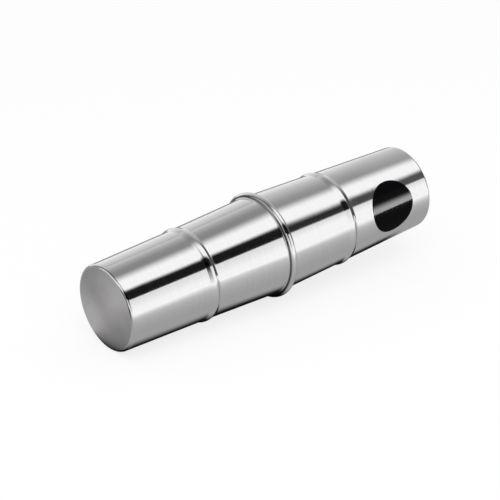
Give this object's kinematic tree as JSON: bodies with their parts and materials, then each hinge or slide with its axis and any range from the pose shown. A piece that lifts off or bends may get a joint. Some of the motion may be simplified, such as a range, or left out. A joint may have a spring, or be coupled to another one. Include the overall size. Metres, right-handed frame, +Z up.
{
  "type": "ganza shaker",
  "caption": "Tube shaker of polished aluminium: tapered cups joined mouth to mouth by a rolled seam, with pressed ribs, flat ends, a plain round label and loose steel shot inside.",
  "frame": {"origin": "on the table under the middle of the shaker's bounding box, with the shaker lying as it comes to rest on its seam and on the edge of its near end", "axes": "+X horizontally along the shaker from the near end, which touches the table, to the raised far end; +Z up; the label faces -Y"},
  "size_m": [0.2022, 0.0576, 0.0576],
  "materials": {
    "polished_aluminium": "polished walls with fine spinning lines, satin end faces",
    "label_black": "glossy printed film",
    "steel_shot": "bright steel balls"
  },
  "bodies": {
    "shell": {"near_cup": "polished_aluminium", "far_cup": "polished_aluminium", "label": "label_black"},
    "shot_bed": {"shot_bed": "steel_shot"},
    "shot_top": {"shot_top": "steel_shot"}
  },
  "joints": [
    {"name": "shot_slide", "type": "slide", "parent": "shell", "child": "shot_bed", "axis": [0.9983, 0, 0.059], "range_m": [0, 0.1365]},
    {"name": "shot_tumble", "type": "hinge", "parent": "shot_bed", "child": "shot_top", "pos_m": [-0.09983, 0, 0.02291], "axis": [0.9983, 0, 0.059], "range_deg": [-90, 90]}
  ]
}
